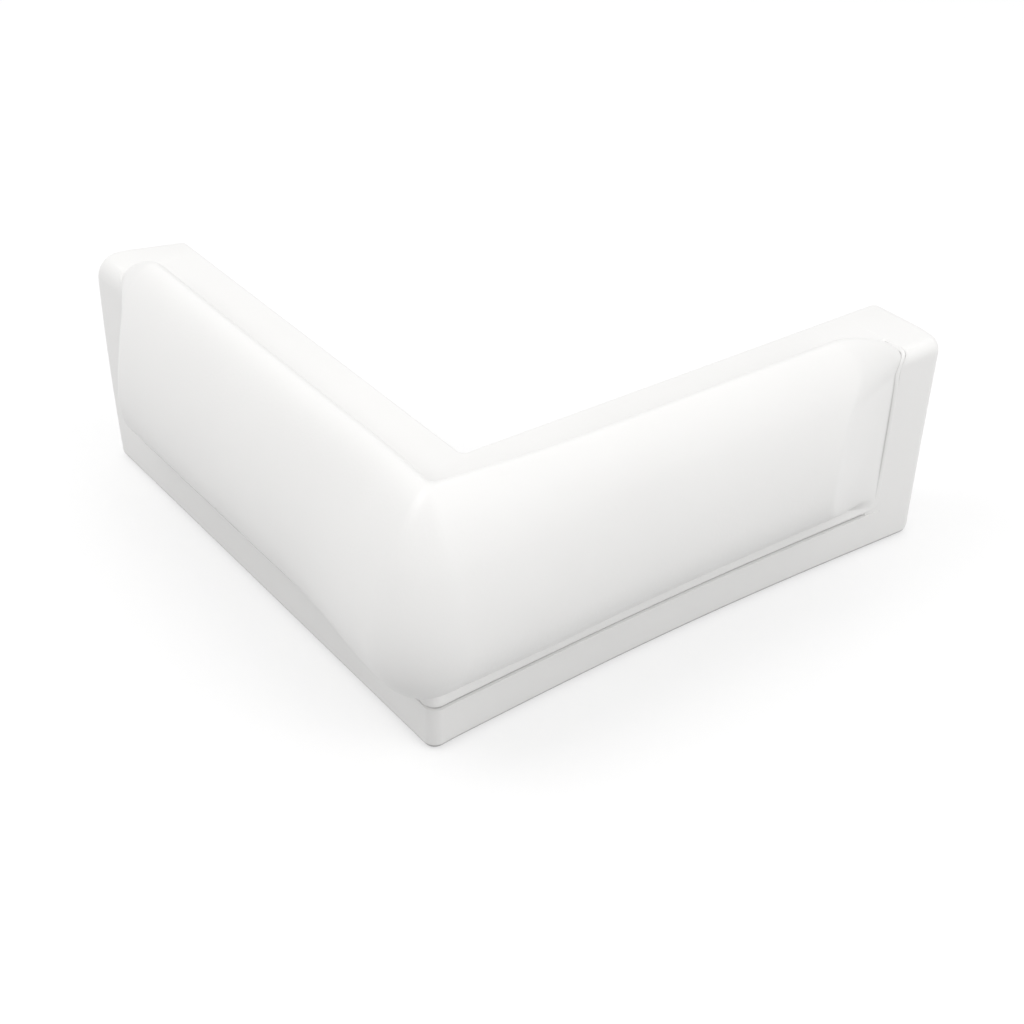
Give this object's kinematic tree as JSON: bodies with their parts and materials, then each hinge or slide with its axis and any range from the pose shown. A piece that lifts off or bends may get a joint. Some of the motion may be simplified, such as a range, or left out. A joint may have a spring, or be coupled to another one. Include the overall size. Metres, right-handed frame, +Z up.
{
  "type": "dock corner bumper",
  "caption": "L-shaped white vinyl bumper for a dock's outer corner, with a swelled cushion round the outside of both legs",
  "frame": {"origin": "middle of the whole part's outline in plan, at the height of its bottom edge", "axes": "+Z up. One leg runs along +X and the other along +Y, and the outer corner points to -X, -Y."},
  "size_m": [0.3024, 0.2954, 0.1205],
  "materials": {
    "white_vinyl": "semi-gloss moulded marine vinyl"
  },
  "bodies": {
    "root": {"corner_bumper": "white_vinyl"}
  },
  "joints": []
}
